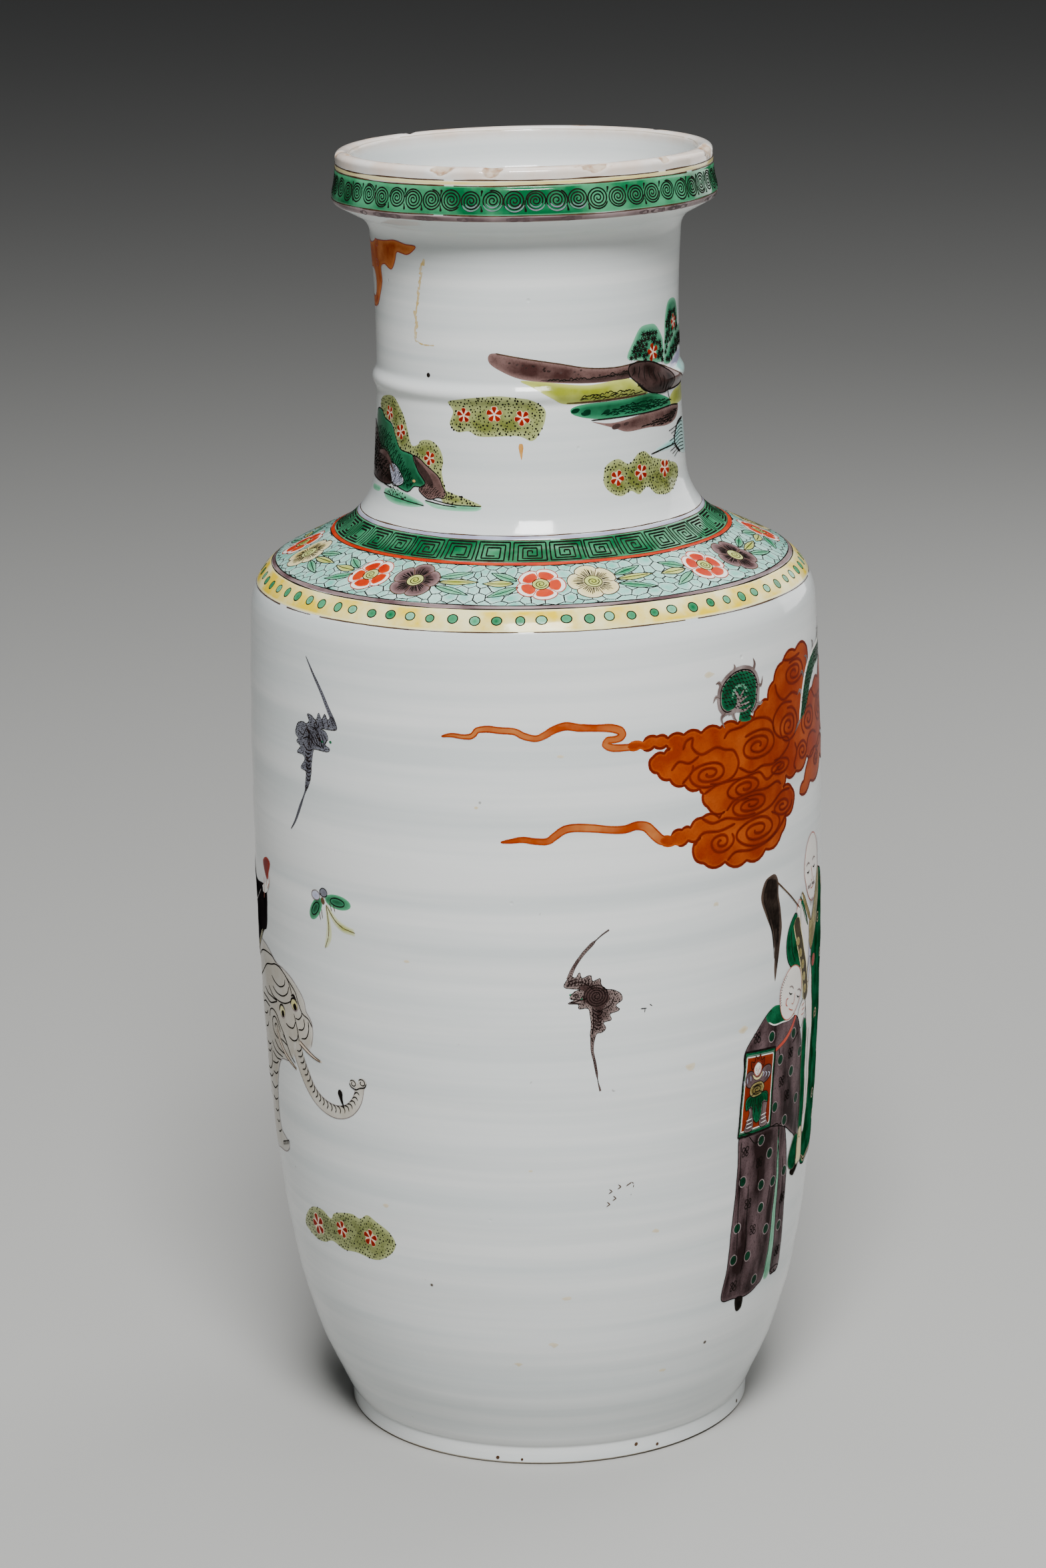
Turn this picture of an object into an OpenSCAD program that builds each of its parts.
// Tall cylindrical porcelain vase with a rounded shoulder, a ridged neck and a cupped mouth.
// It is turned in six sections, which are luted to each other with rings of slip.
// Millimetres; the origin is at the centre of the resting face, +Z is up.

/* [Foot] */
// Outer radius of the foot ring
foot_r = 71.1; // [50:0.1:90]
// Height of the straight foot ring
foot_h = 8; // [4:0.5:14]
// Width of the resting ring, from its outer to its inner wall
foot_ring_w = 9.5; // [6:0.5:16]
// Bevel on both edges of the resting face
foot_bevel = 0.8; // [0.4:0.1:2.5]
// Ledge by which the body oversails the foot ring
foot_ledge = 1; // [0.4:0.1:3]
// Hollow of the base above the table
base_hollow = 7; // [3:0.5:10]
// Thickness of the base
base_t = 9; // [5:0.5:14]
// Width of the sweep from the foot radius in to the flat inside floor
floor_sweep = 14; // [8:0.5:24]
// Height of the wall that is thrown together with the base
base_wall_h = 22; // [18:0.5:30]

/* [Body] */
// Largest radius of the body
belly_r = 99.3; // [85:0.1:120]
// Height of the largest radius above the foot ring
belly_rise = 207; // [160:1:260]
// Outward lean of the wall where it leaves the foot ring, in degrees
start_lean = 25.6; // [15:0.2:35]
// Reach of the lower part of the body curve
low_reach = 27.5; // [18:0.5:40]
// Reach of the upper part of the body curve
high_reach = 154; // [110:1:170]
// Height of the seam between the lower and upper body above the foot ring
belly_seam_rise = 142; // [90:1:150]
// Wall thickness of every section
wall = 5.2; // [4:0.1:7]

/* [Shoulder] */
// How far the body closes in before the shoulder begins to turn
body_taper = 1.7; // [0.5:0.1:5]
// Height of that place above the largest radius
shoulder_rise = 79.4; // [50:0.2:110]
// Height of the seam below that place
shoulder_seam_drop = 9; // [5:0.5:20]
// Radius of the rounded shoulder
shoulder_round = 19.9; // [14:0.1:26]
// Rise of the shoulder slope above level, in degrees
shoulder_slope = 25.5; // [15:0.5:35]
// Hollow radius between shoulder and neck
neck_round = 25.2; // [15:0.2:35]

/* [Neck] */
// Radius at the waist of the neck
neck_r = 51.5; // [38:0.1:62]
// How much wider the neck is at its bottom
neck_base_flare = 1.9; // [0.5:0.1:5]
// Height of the waist above the bottom of the neck
waist_rise = 50; // [40:0.5:70]
// Height of the turned ridge above the bottom of the neck
ridge_rise = 32.4; // [20:0.1:36]
// Half height of the turned ridge
ridge_half_h = 4.2; // [2.5:0.1:6]
// How far the ridge stands out of the neck
ridge_out = 1.5; // [0.5:0.1:3]
// How much wider the neck is at its top
neck_top_flare = 1.1; // [0.3:0.1:4]
// Height of the top of the neck above the waist
neck_top_rise = 30.5; // [20:0.5:45]

/* [Mouth] */
// Hollow radius between neck and mouth
mouth_round = 7.5; // [4:0.1:9]
// Rise of the underside of the mouth above level, in degrees
under_slope = 28; // [15:1:40]
// How far the lower edge of the mouth stands out beyond the neck
mouth_overhang = 12.6; // [9:0.1:20]
// Height of the rounding of that edge
edge_round_h = 2.6; // [1.5:0.1:4]
// How far the rim below the lip is set back from that edge
rim_setback = 1.55; // [0.5:0.05:4]
// Height from the lower edge of the mouth to the top of the lip
rim_h = 14.75; // [11:0.05:22]
// Thickness of the lip
lip_t = 4.8; // [3.5:0.1:6]
// Height of the rounding over the lip
lip_round_h = 1.7; // [1:0.1:3]

/* [Luting] */
// Thickness of the slip between two sections
slip_t = 1; // [0.5:0.1:2]
// Reach of the smeared slip on the inside, each way from the seam
smear_reach = 2.4; // [1:0.1:3]
// Thickness of the smeared slip
smear_t = 0.8; // [0.3:0.1:1.5]

/* [Hidden] */

porcelain = [0.90, 0.91, 0.89];
slip = [0.86, 0.83, 0.77];

// Curve helpers, in radius and height
function unit(v) = v / norm(v);
function turned(p) = [for (i = [len(p) - 1 : -1 : 0]) p[i]];
function curve(a, b, c, d, t) =
    pow(1 - t, 3) * a + 3 * pow(1 - t, 2) * t * b + 3 * (1 - t) * t * t * c + pow(t, 3) * d;
function curve_run(q, t0, t1, n) =
    [for (i = [0 : n]) curve(q[0], q[1], q[2], q[3], t0 + (t1 - t0) * i / n)];
function curve_at(q, z, lo = 0, hi = 1, n = 30) =
    n == 0 ? (lo + hi) / 2
    : curve(q[0], q[1], q[2], q[3], (lo + hi) / 2)[1] < z ? curve_at(q, z, (lo + hi) / 2, hi, n - 1)
    : curve_at(q, z, lo, (lo + hi) / 2, n - 1);
function along(p, i) = unit(p[min(i + 1, len(p) - 1)] - p[max(i - 1, 0)]);
function inside_of(p) =
    [for (i = [0 : len(p) - 1]) let (t = along(p, i)) p[i] + wall * [-t[1], t[0]]];
function first(p) = p[0];
function last(p) = p[len(p) - 1];

// Lower body curve, from the foot ledge to the largest radius
belly_z = foot_h + belly_rise;
body_curve = [[foot_r + foot_ledge, foot_h],
              [foot_r + foot_ledge + low_reach * tan(start_lean), foot_h + low_reach],
              [belly_r, belly_z - high_reach],
              [belly_r, belly_z]];
foot_seam_z = foot_h + base_wall_h;
belly_seam_z = foot_h + belly_seam_rise;
foot_wall_out = curve_run(body_curve, 0, curve_at(body_curve, foot_seam_z), 5);
lower_out = curve_run(body_curve, curve_at(body_curve, foot_seam_z + slip_t),
                      curve_at(body_curve, belly_seam_z), 13);

// Upper body: the rest of that curve, then one long arc that closes in to the shoulder
shoulder_r = belly_r - body_taper;
body_arc = (pow(shoulder_rise, 2) + pow(body_taper, 2)) / (2 * body_taper);
body_lean = asin(shoulder_rise / body_arc);
function body_at(z) = belly_r - body_arc + sqrt(pow(body_arc, 2) - pow(z - belly_z, 2));
shoulder_z = belly_z + shoulder_rise;
shoulder_seam_z = shoulder_z - shoulder_seam_drop;
upper_out = concat(
    curve_run(body_curve, curve_at(body_curve, belly_seam_z + slip_t), 1, 5),
    [for (i = [1 : 4]) let (z = belly_z + (shoulder_seam_z - belly_z) * i / 4) [body_at(z), z]]);

// Neck arcs below and above its waist
neck_base_r = neck_r + neck_base_flare;
neck_top_r = neck_r + neck_top_flare;
base_arc = (pow(waist_rise, 2) + pow(neck_base_flare, 2)) / (2 * neck_base_flare);
base_lean = asin(waist_rise / base_arc);
top_arc = (pow(neck_top_rise, 2) + pow(neck_top_flare, 2)) / (2 * neck_top_flare);
top_lean = asin(neck_top_rise / top_arc);

// Shoulder: rounded corner, straight slope and hollow up to the bottom of the neck
corner = [shoulder_r, shoulder_z] - shoulder_round * [cos(body_lean), sin(body_lean)];
slope_start = corner + shoulder_round * [sin(shoulder_slope), cos(shoulder_slope)];
hollow_r = neck_base_r + neck_round * cos(base_lean);
slope_l = (slope_start[0] - hollow_r + neck_round * sin(shoulder_slope)) / cos(shoulder_slope);
slope_end = slope_start + slope_l * [-cos(shoulder_slope), sin(shoulder_slope)];
hollow = slope_end + neck_round * [sin(shoulder_slope), cos(shoulder_slope)];
neck_z = hollow[1] - neck_round * sin(base_lean);
shoulder_out = concat(
    [for (i = [0 : 1]) let (z = shoulder_seam_z + slip_t + (shoulder_seam_drop - slip_t) * i / 2)
        [body_at(z), z]],
    [for (i = [0 : 9]) let (a = body_lean + (90 - shoulder_slope - body_lean) * i / 9)
        corner + shoulder_round * [cos(a), sin(a)]],
    [for (i = [0 : 7]) let (a = shoulder_slope + (90 - base_lean - shoulder_slope) * i / 7)
        hollow - neck_round * [sin(a), cos(a)]]);

// Neck: the two arcs and the turned ridge
waist_z = neck_z + waist_rise;
neck_top_z = waist_z + neck_top_rise;
ridge_z = neck_z + ridge_rise;
function neck_at(z) = z < waist_z
    ? neck_r + base_arc - sqrt(pow(base_arc, 2) - pow(z - waist_z, 2))
    : neck_r + top_arc - sqrt(pow(top_arc, 2) - pow(z - waist_z, 2));
function ridge_at(z) = let (x = (z - ridge_z) / ridge_half_h)
    abs(x) < 1 ? ridge_out * pow(cos(90 * x), 2) : 0;
neck_start_z = neck_z + slip_t;
ridge_start_z = ridge_z - ridge_half_h;
ridge_end_z = ridge_z + ridge_half_h;
neck_heights = concat(
    [for (i = [0 : 3]) neck_start_z + (ridge_start_z - neck_start_z) * i / 4],
    [for (i = [0 : 10]) ridge_start_z + (ridge_end_z - ridge_start_z) * i / 10],
    [for (i = [1 : 6]) ridge_end_z + (neck_top_z - ridge_end_z) * i / 6]);
neck_out = [for (z = neck_heights) [neck_at(z) + ridge_at(z), z]];
neck_plain = concat(
    [for (i = [0 : 4]) let (z = neck_start_z + (ridge_start_z - neck_start_z) * i / 4) [neck_at(z), z]],
    [for (i = [0 : 6]) let (z = ridge_end_z + (neck_top_z - ridge_end_z) * i / 6) [neck_at(z), z]]);

// Mouth: hollow, sloping underside, rounded edge, rim face and rounded lip
mouth_start = [neck_top_r, neck_top_z] + slip_t * [sin(top_lean), cos(top_lean)];
under_hollow = mouth_start + mouth_round * [cos(top_lean), -sin(top_lean)];
under_start = under_hollow + mouth_round * [-sin(under_slope), cos(under_slope)];
mouth_edge_r = neck_top_r + mouth_overhang;
rim_r = mouth_edge_r - rim_setback;
edge_start_r = mouth_edge_r - edge_round_h / 2;
edge_start = under_start + (edge_start_r - under_start[0]) * [1, tan(under_slope)];
edge_z = edge_start[1] + edge_round_h;
lip_r = lip_t / 2;
top_z = edge_z + rim_h;
lip_centre = [rim_r - lip_r, top_z - lip_round_h];
edge_curve = [edge_start, edge_start + edge_round_h / 2 * [cos(under_slope), sin(under_slope)],
              [mouth_edge_r, edge_z - edge_round_h / 3], [mouth_edge_r, edge_z]];
rim_curve = [[mouth_edge_r, edge_z], [mouth_edge_r, edge_z + rim_h / 8],
             [rim_r, edge_z + rim_h / 4], [rim_r, lip_centre[1]]];
under_out = [for (i = [0 : 5]) let (a = top_lean + (90 - under_slope - top_lean) * i / 5)
    under_hollow + mouth_round * [-cos(a), sin(a)]];
cup_start = first(under_out) + wall * [-cos(top_lean), sin(top_lean)];
cup_end = [rim_r - lip_t, edge_z + rim_h / 3];
cup_reach = (cup_end[1] - cup_start[1]) * 0.55;
cup_curve = [cup_start, cup_start + cup_reach * [sin(top_lean), cos(top_lean)],
             cup_end - [0, cup_reach], cup_end];
cup_in = curve_run(cup_curve, 0, 1, 7);
mouth_out = concat(under_out, curve_run(edge_curve, 0, 1, 4),
    [for (i = [1 : 6]) curve(rim_curve[0], rim_curve[1], rim_curve[2], rim_curve[3], i / 6)],
    [for (i = [1 : 10]) lip_centre + [lip_r * cos(18 * i), lip_round_h * sin(18 * i)]]);

// Inside lines of the sections
lower_in = inside_of(lower_out);
upper_in = inside_of(upper_out);
shoulder_in = inside_of(shoulder_out);
neck_in = inside_of(neck_plain);

// Inside of the foot section: the wall sweeps down into the flat floor
floor_z = base_hollow + base_t;
floor_r = foot_r - floor_sweep;
foot_top_in = last(inside_of(foot_wall_out));
foot_top_run = along(foot_wall_out, len(foot_wall_out) - 1);
floor_curve = [foot_top_in, foot_top_in - (foot_top_in[1] - floor_z) * 0.7 * foot_top_run,
               [floor_r + (foot_top_in[0] - floor_r) * 0.5, floor_z], [floor_r, floor_z]];
floor_in = curve_run(floor_curve, 0, 1, 6);

// Base disc and foot ring with the wall that is thrown in one with them
module foot() {
    ring_in = foot_r - foot_ring_w;
    color(porcelain) rotate_extrude()
        polygon(concat([[0, base_hollow], [ring_in - foot_bevel, base_hollow],
                        [ring_in, foot_bevel], [ring_in + foot_bevel, 0],
                        [foot_r - foot_bevel, 0], [foot_r, foot_bevel],
                        [foot_r, foot_h - foot_ledge]],
                       foot_wall_out, floor_in, [[0, floor_z]]));
}

// One turned section between its outside and inside lines
module section(outside, inside) {
    color(porcelain) rotate_extrude()
        polygon(concat(outside, turned(inside)));
}

module lower_body() {
    section(lower_out, lower_in);
}

module upper_body() {
    section(upper_out, upper_in);
}

module shoulder() {
    section(shoulder_out, shoulder_in);
}

module neck() {
    section(neck_out, neck_in);
}

module mouth() {
    section(mouth_out, cup_in);
}

// Ring of slip between two sections, with the smear that is left on the inside
module luting(out_below, in_below, run_below, out_above, in_above, run_above) {
    middle = (in_below + in_above) / 2;
    up = unit(in_above - in_below);
    inward = [-up[1], up[0]];
    color(slip) rotate_extrude()
        polygon([out_below, out_above, in_above, in_above + smear_reach * run_above,
                 middle + slip_t * up + smear_t * inward, middle - slip_t * up + smear_t * inward,
                 in_below - smear_reach * run_below, in_below]);
}

function end_run(p) = unit(last(p) - p[len(p) - 2]);
function start_run(p) = unit(p[1] - p[0]);

module foot_luting() {
    luting(last(foot_wall_out), foot_top_in, unit(floor_in[0] - floor_in[1]),
           first(lower_out), first(lower_in), start_run(lower_in));
}

module belly_luting() {
    luting(last(lower_out), last(lower_in), end_run(lower_in),
           first(upper_out), first(upper_in), start_run(upper_in));
}

module shoulder_luting() {
    luting(last(upper_out), last(upper_in), end_run(upper_in),
           first(shoulder_out), first(shoulder_in), start_run(shoulder_in));
}

module neck_luting() {
    luting(last(shoulder_out), last(shoulder_in), end_run(shoulder_in),
           first(neck_out), first(neck_in), start_run(neck_in));
}

module mouth_luting() {
    luting(last(neck_out), last(neck_in), end_run(neck_in),
           first(mouth_out), first(cup_in), start_run(cup_in));
}

foot();
lower_body();
upper_body();
shoulder();
neck();
mouth();
foot_luting();
belly_luting();
shoulder_luting();
neck_luting();
mouth_luting();
